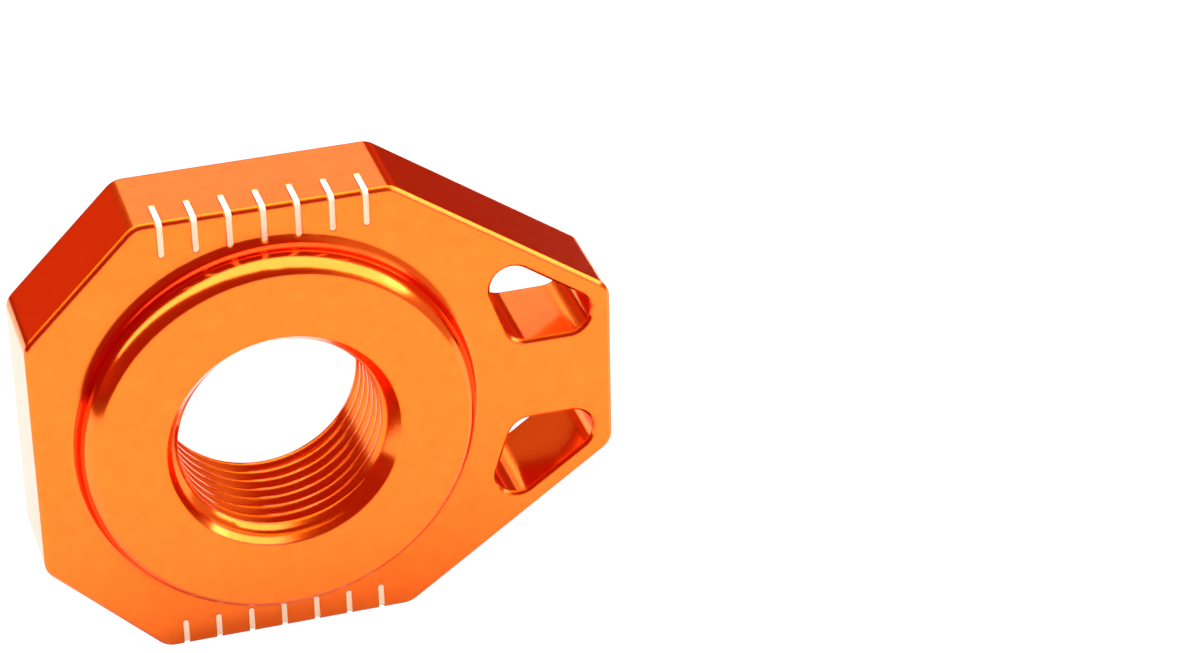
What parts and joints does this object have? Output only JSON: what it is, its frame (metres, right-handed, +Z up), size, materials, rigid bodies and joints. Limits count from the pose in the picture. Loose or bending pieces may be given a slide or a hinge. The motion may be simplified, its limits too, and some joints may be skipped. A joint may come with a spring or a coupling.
{
  "type": "motorcycle chain adjuster block",
  "caption": "Flat axle block with cut-off corners, a raised round boss around a threaded hole, triangular windows in the nose and scale marks over the upper and lower edges.",
  "frame": {"origin": "where the axle's centre line leaves the flat inboard face", "axes": "+X forward to the nose that the adjuster screw pushes on, +Y inboard along the axle towards the swingarm, +Z up; the boss stands out towards -Y"},
  "size_m": [0.0521, 0.0127, 0.043],
  "materials": {
    "anodised_aluminium": "satin orange anodising"
  },
  "bodies": {
    "root": {"adjuster_block": "anodised_aluminium"}
  },
  "joints": []
}
